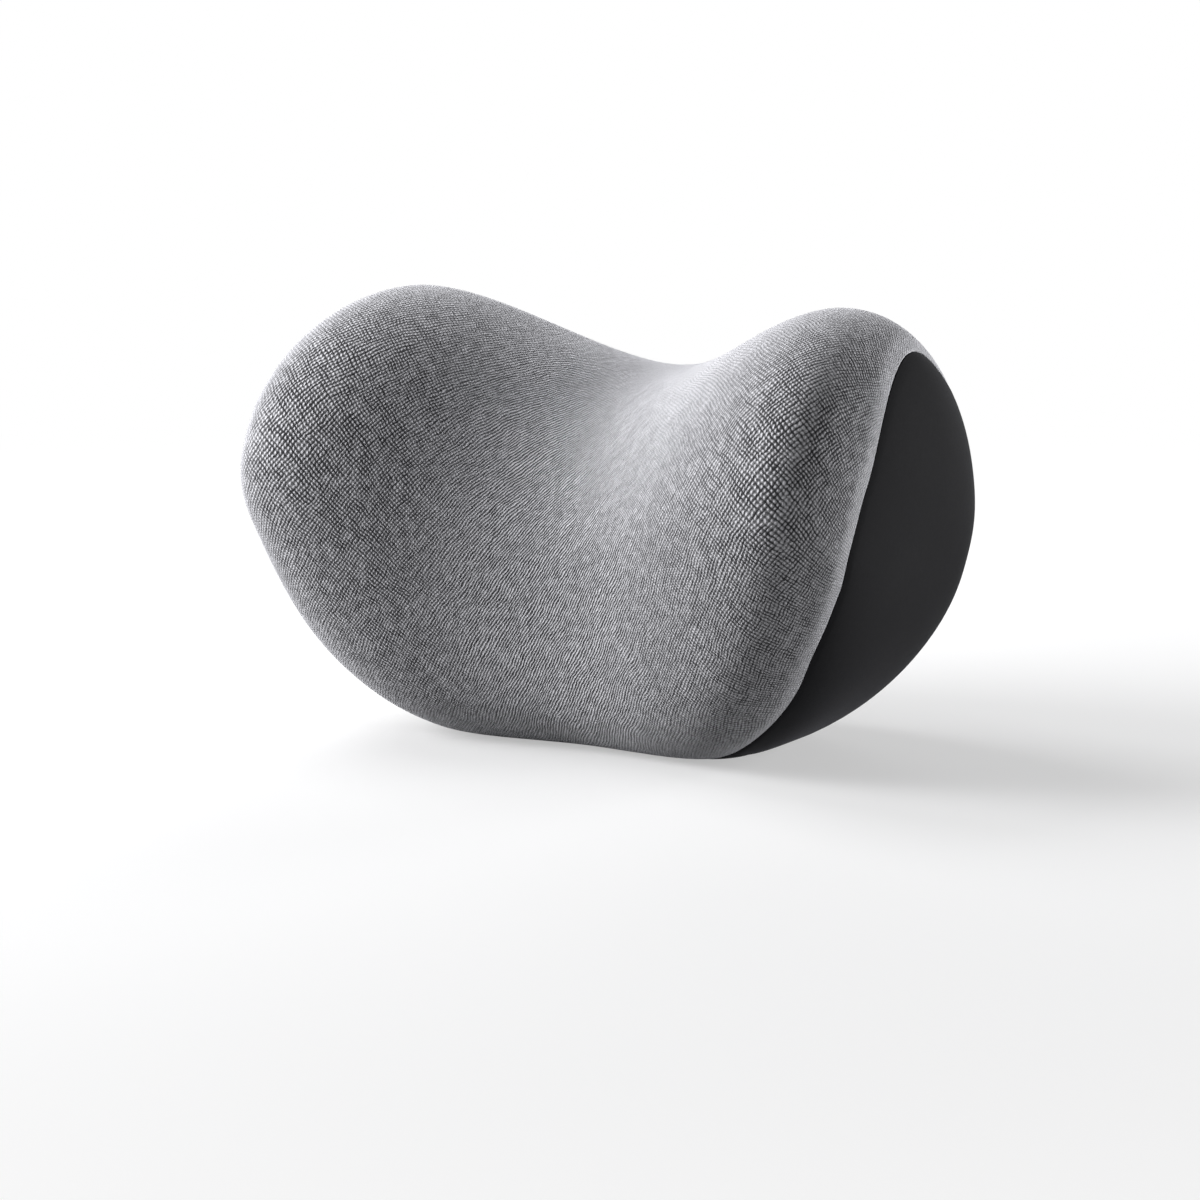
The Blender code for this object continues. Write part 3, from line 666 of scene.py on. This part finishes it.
def makeCover():
    half = 0.5 * seams["gap"]
    greyRim = [(half + inset, drop) for inset, drop in rimSteps(cover["greyRoll"], cover["tuck"], cover["greyLower"])]
    blackRim = [(half + inset, drop) for inset, drop in rimSteps(cover["blackRoll"], cover["tuck"], cover["blackLower"])]
    made = []
    bm = coverPanel("front", cover["frontColumns"], cover["frontRows"], greyRim)
    made.append(finishPiece("frontCover", bm, "grey_knit", "pillow", ["front_panel"]))
    layCloth(made[0])
    bm = coverPanel("base", cover["frontColumns"], cover["baseRows"], blackRim)
    made.append(finishPiece("baseCover", bm, "black_fabric", "pillow", ["base_panel"]))
    bm = coverPanel("back", cover["frontColumns"], cover["backRows"], blackRim)
    wholeBack = BVHTree.FromBMesh(bm)
    grown = Vector((0.0015, 0.0, 0.0015))
    cutZipOpening(bm, slotLow - grown, slotHigh + grown)
    made.append(finishPiece("backCover", bm, "black_fabric", "pillow", ["back_panel"]))
    for name, node, side in (("sideCoverRight", "side_panel_right", 1.0), ("sideCoverLeft", "side_panel_left", -1.0)):
        made.append(finishPiece(name, sidePanel(side, blackRim), "black_fabric", "pillow", [node]))
    for piece in made:
        faceAway(piece)
        addThickness(piece, cover["thickness"])
    return made, wholeBack


def faceAway(piece):  # an open panel's faces point away from the middle of the foam
    mesh = piece.data
    middle = Vector((0.0, 0.01, 0.09))
    total = sum((Vector(f.center) - middle).dot(f.normal) * f.area for f in mesh.polygons)
    if total < 0.0:
        mesh.flip_normals()


coverPieces, wholeBack = makeCover()
print("pillow: cover sewn,", len(coverPieces), "panels")


# Foam under the cover
foam = {"depth": 0.0036, "around": 96, "across": 64}


def makeFoamCore():
    bm = bmesh.new()
    bmesh.ops.create_uvsphere(bm, u_segments=foam["around"], v_segments=foam["across"], radius=1.0)
    for vert in bm.verts:
        polar = math.acos(min(max(vert.co.z, -1.0), 1.0))
        t = math.atan2(vert.co.y, vert.co.x)
        u = math.copysign(ringToU(math.sin(polar) ** 1.2), vert.co.z) if abs(vert.co.z) > 0.0001 else 0.0
        vert.co = wrap(u, t, foam["depth"])
    core = finishPiece("foamCore", bm, "foam", "pillow", ["foam_core"])
    return core


makeFoamCore()
print("pillow: foam shaped")


# Stitches
def addStitches(bm, start, end, pitch, length, thick):
    count = max(1, round((end - start).length / pitch))
    turn = Vector((1.0, 0.0, 0.0)).rotation_difference(end - start).to_matrix().to_4x4()
    for k in range(count):
        middle = start + (end - start) * ((k + 0.5) / count)
        size = Matrix.Diagonal((0.5 * length, 0.5 * thick, 0.5 * thick, 1.0))
        bmesh.ops.create_uvsphere(bm, u_segments=8, v_segments=5, radius=1.0,
                                  matrix=Matrix.Translation(middle) @ turn @ size)


def addStitchBox(bm, low, high, y, pitch, length, thick):
    corners = [Vector((low.x, y, low.z)), Vector((high.x, y, low.z)), Vector((high.x, y, high.z)),
               Vector((low.x, y, high.z))]
    for k in range(4):
        addStitches(bm, corners[k], corners[(k + 1) % 4], pitch, length, thick)
    return corners


# Zip
def backY(x, z):
    hit = wholeBack.ray_cast(Vector((x, 1.0, z)), Vector((0.0, -1.0, 0.0)))[0]
    return hit.y if hit else slotLow.y


def slotPath(grow):  # (x, z) points round the opening, the same number at every distance from it
    half = 0.5 * (slotHigh - slotLow)
    middle = 0.5 * (slotHigh + slotLow)
    corner = zipParts["weltCorner"]
    points = []
    for k, (sideX, sideZ) in enumerate(((1, 1), (-1, 1), (-1, -1), (1, -1))):
        centreX, centreZ = middle.x + sideX * (half.x - corner), middle.z + sideZ * (half.z - corner)
        for step in range(7):
            a = math.radians(90.0 * k + 15.0 * step)
            points.append((centreX + (corner + grow) * math.cos(a), centreZ + (corner + grow) * math.sin(a)))
        nextX, nextZ = ((-1, 1), (-1, -1), (1, -1), (1, 1))[k]
        endX, endZ = middle.x + nextX * (half.x - corner), middle.z + nextZ * (half.z - corner)
        a = math.radians(90.0 * (k + 1))
        last, end = points[-1], (endX + (corner + grow) * math.cos(a), endZ + (corner + grow) * math.sin(a))
        count = 80 if k % 2 == 0 else 12
        points += [(last[0] + (end[0] - last[0]) * n / count, last[1] + (end[1] - last[1]) * n / count)
                   for n in range(1, count)]
    return points


def makeZipWelt():  # the folded cloth round the opening: (distance from the edge, drop under the back's face)
    width, proud = zipParts["weltWidth"], zipParts["weltProud"]
    profile = [(width, 0.0006), (width - 0.00005, 0.0), (width - 0.0003, -proud * 0.8), (width - 0.0008, -proud),
               (0.0010, -proud), (0.0005, -proud * 0.7), (0.0002, 0.0), (0.00005, 0.0004), (0.0, 0.0012), (0.0, None)]
    paths = [slotPath(out) for out, drop in profile]
    count = len(paths[0])
    bm = bmesh.new()
    bmesh.ops.create_grid(bm, x_segments=count, y_segments=len(profile) - 1, size=1.0)
    for vert in bm.verts:
        i = round((vert.co.x + 1.0) * 0.5 * count) % count
        j = round((vert.co.y + 1.0) * 0.5 * (len(profile) - 1))
        x, z = paths[j][i]
        face = backY(x, z)
        drop = profile[j][1]
        vert.co = Vector((x, min(face, tapeHigh.y) - 0.0002 if drop is None else face - drop, z))
    bmesh.ops.remove_doubles(bm, verts=bm.verts[:], dist=0.000005)
    welt = finishPiece("zipWelt", bm, "black_fabric", "pillow", turn=False)
    if sum(f.normal.y * f.area for f in welt.data.polygons) < 0.0:
        welt.data.flip_normals()
    addThickness(welt, 0.0004)


def makeZipTapes():  # each tape runs on under the welt
    tuck = zipParts["tapeTuck"]
    for name, side in (("Upper", 1.0), ("Lower", -1.0)):
        low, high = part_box("zip_tape_" + name.lower())
        inner = zipParts["height"] + side * 0.00003
        outer = (high.z if side > 0.0 else low.z) + side * tuck
        bm = bmesh.new()
        bmesh.ops.create_grid(bm, x_segments=160, y_segments=36, size=1.0)
        for vert in bm.verts:
            x = 0.5 * (low.x + high.x) + vert.co.x * (0.5 * (high.x - low.x) + tuck)
            z = inner + (outer - inner) * 0.5 * (vert.co.y + 1.0)
            bead = math.exp(-((abs(z - outer) - tuck - 0.0010) / 0.0008) ** 2)
            y = high.y - zipParts["tapeBead"] * (1.0 - bead)
            vert.co = Vector((x, min(y, backY(x, z) - zipParts["tapeCover"]), z))
        tape = finishPiece("zipTape" + name, bm, "zip_tape", "pillow", ["zip_tape_" + name.lower()], turn=False)
        if sum(f.normal.y for f in tape.data.polygons) < 0.0:
            tape.data.flip_normals()
        addThickness(tape, 0.0007)


def makeZipTeeth():
    for name, side in (("Upper", 1.0), ("Lower", -1.0)):
        low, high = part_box("zip_coil_" + name.lower())
        centreZ = zipParts["height"]
        far = high.z if side > 0.0 else low.z
        near = centreZ - side * zipParts["toothReach"]
        pitch, width = zipParts["toothPitch"], zipParts["toothWidth"]
        count = int((high.x - low.x - width) / pitch)
        bm = bmesh.new()
        for k in range(count + 1):
            x = low.x + 0.5 * width + k * pitch + (0.0 if side > 0.0 else 0.5 * pitch)
            if x + 0.5 * width > high.x:
                continue
            size = Matrix.Diagonal((width, 0.72 * (high.y - low.y), abs(far - near), 1.0))
            place = Matrix.Translation((x, low.y + 0.5 * (high.y - low.y), 0.5 * (near + far)))
            bmesh.ops.create_cube(bm, size=1.0, matrix=place @ size)
        bmesh.ops.bevel(bm, geom=bm.edges[:], offset=zipParts["toothRound"], segments=2, profile=0.5,
                        affect="EDGES", material=-1)
        # the two threads that hold the coil on its tape
        for offset in (0.0006, 0.0014):
            z = far + side * (offset - 0.0010)
            addStitches(bm, Vector((low.x, low.y + 0.85 * (high.y - low.y), z)),
                        Vector((high.x, low.y + 0.85 * (high.y - low.y), z)), pitch, pitch * 0.8, 0.00035)
        finishPiece("zipTeeth" + name, bm, "zip_nylon", "pillow", ["zip_coil_" + name.lower()])


def superLoop(bm, centre, halfX, halfZ, power, segments=40):
    loop = bmesh.ops.create_circle(bm, segments=segments, radius=1.0)["verts"]
    for vert in loop:
        c, s = vert.co.x, vert.co.y
        vert.co = Vector((centre[0] + halfX * math.copysign(abs(c) ** power, c), centre[1],
                          centre[2] + halfZ * math.copysign(abs(s) ** power, s)))
    return loop


def addPlate(bm, loops, thickness, rounding):
    edges = list({e for loop in loops for v in loop for e in v.link_edges})
    if len(loops) == 1:
        faces = bmesh.ops.contextual_create(bm, geom=edges)["faces"]
    else:
        faces = bmesh.ops.bridge_loops(bm, edges=edges)["faces"]
    grown = bmesh.ops.extrude_face_region(bm, geom=faces, use_keep_orig=True)["geom"]
    top = [g for g in grown if isinstance(g, bmesh.types.BMVert)]
    bmesh.ops.translate(bm, verts=top, vec=(0.0, thickness, 0.0))
    verts = set(top) | {v for loop in loops for v in loop}
    sides = [e for e in bm.edges if all(v in verts for v in e.verts) and len(e.link_faces) == 2
             and e.calc_face_angle(0.0) > math.radians(50.0)]
    bmesh.ops.bevel(bm, geom=sides, offset=rounding, segments=3, profile=0.5, affect="EDGES", material=-1)


def makeZipSlider():
    low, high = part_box("zip_slider")
    centre = (low + high) * 0.5
    coilLow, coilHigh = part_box("zip_coil_upper")
    plateIn, plateOut = coilHigh.y + 0.0003, coilHigh.y + 0.0018
    bm = bmesh.new()
    loop = superLoop(bm, (centre.x, plateIn, centre.z), 0.5 * (high.x - low.x), 0.5 * (high.z - low.z), 0.62)
    for vert in loop:  # shoulders at the mouth, narrower where the closed coil comes out
        lean = (vert.co.x - low.x) / (high.x - low.x)
        vert.co.z = centre.z + (vert.co.z - centre.z) * (0.72 + 0.28 * ease(lean * 1.4))
    addPlate(bm, [loop], plateOut - plateIn, 0.00045)
    for side in (1.0, -1.0):
        flange = superLoop(bm, (centre.x + 0.0004, low.y, centre.z + side * 0.0036), 0.0046, 0.0009, 0.5, 24)
        addPlate(bm, [flange], plateIn - low.y + 0.0003, 0.0002)
    ring = bmesh.ops.create_circle(bm, segments=14, radius=0.5 * zipParts["archBar"])["verts"]
    for vert in ring:  # section of the arch, at one foot
        vert.co = Vector((centre.x - 0.0035 + vert.co.x, plateOut - 0.0002, centre.z + vert.co.y * 1.5))
    edges = list({e for v in ring for e in v.link_edges})
    arch = bmesh.ops.spin(bm, geom=ring + edges, cent=(centre.x, plateOut - 0.0002, centre.z),
                          axis=(0.0, 0.0, 1.0), angle=-math.pi, steps=22)
    archVerts = {v for f in bm.faces for v in f.verts if v.co.y > plateOut + 0.00001 and abs(v.co.z - centre.z) < 0.0008
                 and f.calc_center_median().y > plateOut + 0.0001}
    for vert in archVerts:
        vert.co.y = plateOut + (vert.co.y - plateOut) * (high.y - plateOut) / 0.0040
    bmesh.ops.holes_fill(bm, edges=[e for e in bm.edges if e.is_boundary], sides=0)
    finishPiece("zipSlider", bm, "zip_metal", "slider", ["zip_slider"], smoothAngle=42.0)


def makeZipPull():
    low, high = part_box("zip_pull")
    thick = high.y - low.y
    z = 0.5 * (low.z + high.z)
    pivot = high.x - 0.5 * thick
    bm = bmesh.new()
    eyeMiddle = pivot - 0.5 * thick - 0.00295
    outer = superLoop(bm, (eyeMiddle, low.y, z), 0.0029 + 0.5 * thick + 0.0006, 0.0029, 0.45)
    inner = superLoop(bm, (eyeMiddle, low.y, z), 0.00290, 0.0013, 0.5)
    addPlate(bm, [outer, inner], thick, 0.00028)
    tabLow, tabHigh = low.x, eyeMiddle - 0.0026
    tabMiddle, tabHalf = 0.5 * (tabLow + tabHigh), 0.5 * (tabHigh - tabLow)
    outer = superLoop(bm, (tabMiddle, low.y, z), tabHalf, 0.0030, 0.42)
    for vert in outer:  # waisted next to the eye, full at the finger end
        share = (vert.co.x - tabLow) / (tabHigh - tabLow)
        vert.co.z = z + (vert.co.z - z) * (1.0 - 0.28 * math.exp(-((share - 0.78) / 0.22) ** 2))
    inner = superLoop(bm, (tabLow + 0.0042, low.y, z), 0.0021, 0.0014, 0.8)
    addPlate(bm, [outer, inner], thick, 0.00028)
    finishPiece("zipPull", bm, "zip_metal", "pull", ["zip_pull"], smoothAngle=42.0)


def makeZipStops():  # a bent staple over the ends of the coil
    for name in ("left", "right"):
        low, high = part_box("zip_stop_" + name)
        middle = (low + high) * 0.5
        bm = bmesh.new()
        for part in (-1.0, 1.0):
            x = middle.x + part * 0.25 * (high.x - low.x)
            size = Matrix.Diagonal((0.44 * (high.x - low.x), high.y - low.y, high.z - low.z, 1.0))
            bmesh.ops.create_cube(bm, size=1.0, matrix=Matrix.Translation((x, middle.y, middle.z)) @ size)
        bmesh.ops.bevel(bm, geom=bm.edges[:], offset=0.0005, segments=4, profile=0.5, affect="EDGES", material=-1)
        finishPiece("zipStop" + name.capitalize(), bm, "zip_metal", "pillow", ["zip_stop_" + name])


def makeZipStitches():
    path = [Vector((x, backY(x, z) + zipParts["weltProud"] - 0.00005, z)) for x, z in slotPath(zipParts["stitchInset"])]
    pitch, length, thick = (zipParts["stitch" + name] for name in ("Pitch", "Length", "Thick"))
    bm = bmesh.new()
    run, total = 0.0, sum((path[k] - path[k - 1]).length for k in range(len(path)))
    step = total / round(total / pitch)
    due = 0.5 * step
    for k in range(len(path)):
        start, end = path[k - 1], path[k]
        span = (end - start).length
        while due < run + span:
            middle = start + (end - start) * ((due - run) / span)
            addStitches(bm, middle - (end - start).normalized() * 0.5 * length,
                        middle + (end - start).normalized() * 0.5 * length, length, length, thick)
            due += step
        run += span
    finishPiece("zipStitches", bm, "black_fabric", "pillow", material=sewingThread)


makeZipWelt()
makeZipTapes()
makeZipTeeth()
makeZipSlider()
makeZipPull()
makeZipStops()
makeZipStitches()
print("pillow: zip fitted")


# Elastic strap
strap = {
    "sewn": 0.024, "rise": 0.030, "standoff": 0.0135, "ribs": 17, "ribDepth": 0.00016, "edgeRound": 0.0006,
    "columns": 170, "rows": 136, "thickness": 0.0013, "ripple": 0.00012,
    "stitchPitch": 0.0026, "stitchLength": 0.0019, "stitchThick": 0.00045, "stitchInset": 0.0022,
}


def strapLift(x, sewnX):
    return strap["standoff"] * ease((sewnX - abs(x)) / strap["rise"])


def makeStrap():
    low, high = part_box("strap_band")
    sewnX = high.x - strap["sewn"]
    width = high.z - low.z
    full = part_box("strap_patch_right")[0].y - 0.0003 - low.y
    bm = bmesh.new()
    bmesh.ops.create_grid(bm, x_segments=strap["columns"], y_segments=strap["rows"], size=1.0)
    for vert in bm.verts:
        x = high.x * math.copysign(abs(vert.co.x) ** 0.9, vert.co.x)
        q = 0.5 * (vert.co.y + 1.0)
        slope = (strapLift(x + 0.0005, sewnX) - strapLift(x - 0.0005, sewnX)) / 0.001
        out = Vector((-slope, 1.0, 0.0)).normalized()
        edge = min(q, 1.0 - q) * width
        drop = strap["ribDepth"] * (0.5 + 0.5 * math.cos(2.0 * math.pi * strap["ribs"] * q))
        drop += strap["edgeRound"] * max(1.0 - edge / 0.0009, 0.0) ** 2
        drop += strap["ripple"] * (0.5 + 0.5 * math.sin(x * 2900.0)) * math.exp(-edge / 0.0012)
        base = Vector((x, low.y + strapLift(x, sewnX), low.z + q * width))
        vert.co = base + out * (full - drop)
    band = finishPiece("strapBand", bm, "elastic_webbing", "pillow", ["strap_band"], turn=False)
    if sum(f.normal.y for f in band.data.polygons) < 0.0:
        band.data.flip_normals()
    addThickness(band, strap["thickness"])


def makePatches():
    for name in ("left", "right"):
        low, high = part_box("strap_patch_" + name)
        middle = (low + high) * 0.5
        half = (high - low) * 0.5
        inset = strap["stitchInset"]
        bm = bmesh.new()
        bmesh.ops.create_grid(bm, x_segments=48, y_segments=72, size=1.0)
        for vert in bm.verts:
            x, z = vert.co.x * half.x, vert.co.y * half.z
            edge = min(half.x - abs(x), half.z - abs(z))
            fold = 0.0007 * max(1.0 - edge / 0.0010, 0.0) ** 2
            frameLine = abs(edge - inset)
            cross = abs(abs(x) / (half.x - inset) - abs(z) / (half.z - inset)) * half.x * 0.8
            line = min(frameLine, cross if edge > inset else 1.0)
            vert.co = Vector((middle.x + x, high.y - fold - 0.00022 * math.exp(-(line / 0.0008) ** 2), middle.z + z))
        patch = finishPiece("strapPatch" + name.capitalize(), bm, "strap_patch", "pillow",
                            ["strap_patch_" + name], turn=False)
        if sum(f.normal.y for f in patch.data.polygons) < 0.0:
            patch.data.flip_normals()
        addThickness(patch, 0.0005)
        bm = bmesh.new()
        lowIn, highIn = low + Vector((inset, 0.0, inset)), high - Vector((inset, 0.0, inset))
        corners = addStitchBox(bm, lowIn, highIn, high.y - 0.00018, strap["stitchPitch"], strap["stitchLength"],
                               strap["stitchThick"])
        addStitches(bm, corners[0], corners[2], strap["stitchPitch"], strap["stitchLength"], strap["stitchThick"])
        addStitches(bm, corners[1], corners[3], strap["stitchPitch"], strap["stitchLength"], strap["stitchThick"])
        finishPiece("strapStitches" + name.capitalize(), bm, "strap_patch", "pillow", material=sewingThread)


makeStrap()
makePatches()
print("pillow: strap sewn on")


# Floor, light and camera
studio = {
    "floorSeen": (0.90, 0.90, 0.91), "floorBounce": (0.35, 0.35, 0.35),
    "floorSize": 6.0, "wallDistance": 2.2, "wallHeight": 3.0, "worldStrength": 0.03,
    "lights": (
        # name, azimuth, elevation, distance, width, height, watts
        ("keySoftbox", -60.0, 22.0, 1.50, 0.8, 0.8, 31.0),
        ("leftTop", -100.0, 50.0, 1.50, 0.8, 0.8, 12.0),
        ("backLow", -160.0, 22.0, 1.50, 0.8, 0.8, 5.0),
        ("backRight", 150.0, 7.0, 1.50, 0.45, 0.45, 14.0),
        ("rightSide", 100.0, 7.0, 1.50, 0.45, 0.45, 5.0),
    ),
}

camera = {
    "target": (0.0, 0.0504, 0.1026), "azimuth": 30.349, "elevation": 8.059, "distance": 1.8205,
    "focalPixels": 4134.5, "framePixels": 1200.0, "right": 76.11, "up": 112.17,
}


def makeFloor():
    material, tree, shader = newMaterial("paleStudio", {"Roughness": 0.9, "Specular IOR Level": 0.1})
    place = addNode(tree, "ShaderNodeTexCoord").outputs["Object"]
    reach = addNode(tree, "ShaderNodeVectorMath", {0: place}, operation="LENGTH").outputs["Value"]
    far = addNode(tree, "ShaderNodeMapRange", {"Value": reach, "From Min": 0.25, "From Max": 1.1, "To Min": 0.45,
                                               "To Max": 1.0}, interpolation_type="SMOOTHSTEP").outputs[0]
    ray = addNode(tree, "ShaderNodeLightPath").outputs
    seen = addMath(tree, "MAXIMUM", ray["Is Camera Ray"], addMath(
        tree, "MAXIMUM", ray["Is Glossy Ray"], ray["Is Transmission Ray"]))
    tree.links.new(addMix(tree, seen, studio["floorBounce"], studio["floorSeen"]), shader.inputs["Base Color"])
    white = addNode(tree, "ShaderNodeEmission", {"Color": (1.0, 1.0, 1.0, 1.0), "Strength": 1.0})
    blend = addNode(tree, "ShaderNodeMixShader", {0: addMath(tree, "MULTIPLY", seen, far), 1: shader.outputs[0],
                                                  2: white.outputs[0]})
    tree.links.new(blend.outputs[0], tree.nodes["Material Output"].inputs["Surface"])
    half = 0.5 * studio["floorSize"]
    bm = bmesh.new()
    bmesh.ops.create_grid(bm, x_segments=1, y_segments=1, size=half)
    edge = [e for e in bm.edges if all(v.co.y > 0.0 for v in e.verts)]
    for vert in {v for e in edge for v in e.verts}:
        vert.co.y = studio["wallDistance"]
    wall = [g for g in bmesh.ops.extrude_edge_only(bm, edges=edge)["geom"] if isinstance(g, bmesh.types.BMVert)]
    bmesh.ops.translate(bm, verts=wall, vec=(0.0, 0.0, studio["wallHeight"]))
    bmesh.ops.bevel(bm, geom=[e for e in edge if e.is_valid], offset=0.7, segments=14, profile=0.5, affect="EDGES",
                    material=-1)
    mesh = bpy.data.meshes.new("studioFloor")
    bm.to_mesh(mesh)
    bm.free()
    mesh.shade_smooth()
    mesh.materials.append(material)
    floor = bpy.data.objects.new("studioFloor", mesh)
    bpy.context.scene.collection.objects.link(floor)


def makeLights():
    middle = Vector((0.0, 0.0, 0.10))
    for name, azimuth, elevation, distance, width, height, watts in studio["lights"]:
        a, e = math.radians(azimuth), math.radians(elevation)
        toward = Vector((math.sin(a) * math.cos(e), -math.cos(a) * math.cos(e), math.sin(e)))
        lamp = bpy.data.lights.new(name, "AREA")
        lamp.shape, lamp.size, lamp.size_y, lamp.energy = "RECTANGLE", width, height, watts
        thing = bpy.data.objects.new(name, lamp)
        thing.location = middle + toward * distance
        thing.rotation_euler = (-toward).to_track_quat("-Z", "Y").to_euler()
        bpy.context.scene.collection.objects.link(thing)
    world = bpy.data.worlds.new("studioWorld")
    world.use_nodes = True
    tree = world.node_tree
    ray = addNode(tree, "ShaderNodeLightPath").outputs
    seen = addMath(tree, "MAXIMUM", ray["Is Camera Ray"], addMath(
        tree, "MAXIMUM", ray["Is Glossy Ray"], ray["Is Transmission Ray"]))
    strength = addMath(tree, "MULTIPLY_ADD", seen, 1.0 - studio["worldStrength"])
    strength.node.inputs[2].default_value = studio["worldStrength"]
    back = tree.nodes["Background"]
    back.inputs["Color"].default_value = (1.0, 1.0, 1.0, 1.0)
    tree.links.new(strength, back.inputs["Strength"])
    bpy.context.scene.world = world


def makeCamera():
    a, e = math.radians(camera["azimuth"]), math.radians(camera["elevation"])
    back = Vector((math.sin(a) * math.cos(e), -math.cos(a) * math.cos(e), math.sin(e)))
    lens = bpy.data.cameras.new("photoCamera")
    lens.sensor_width = 36.0
    lens.lens = 36.0 * camera["focalPixels"] / camera["framePixels"]
    thing = bpy.data.objects.new("photoCamera", lens)
    thing.location = Vector(camera["target"]) + back * camera["distance"]
    left = math.atan(camera["right"] / camera["focalPixels"])
    down = math.atan(camera["up"] / camera["focalPixels"])
    aim = (-back).to_track_quat("-Z", "Y") @ Quaternion((0.0, 1.0, 0.0), left) @ Quaternion((1.0, 0.0, 0.0), -down)
    thing.rotation_euler = aim.to_euler()
    bpy.context.scene.collection.objects.link(thing)
    bpy.context.scene.camera = thing


makeFloor()
makeLights()
makeCamera()
bpy.context.scene.view_settings.view_transform = "Standard"
print("pillow: studio set up")

print("pillow: done")
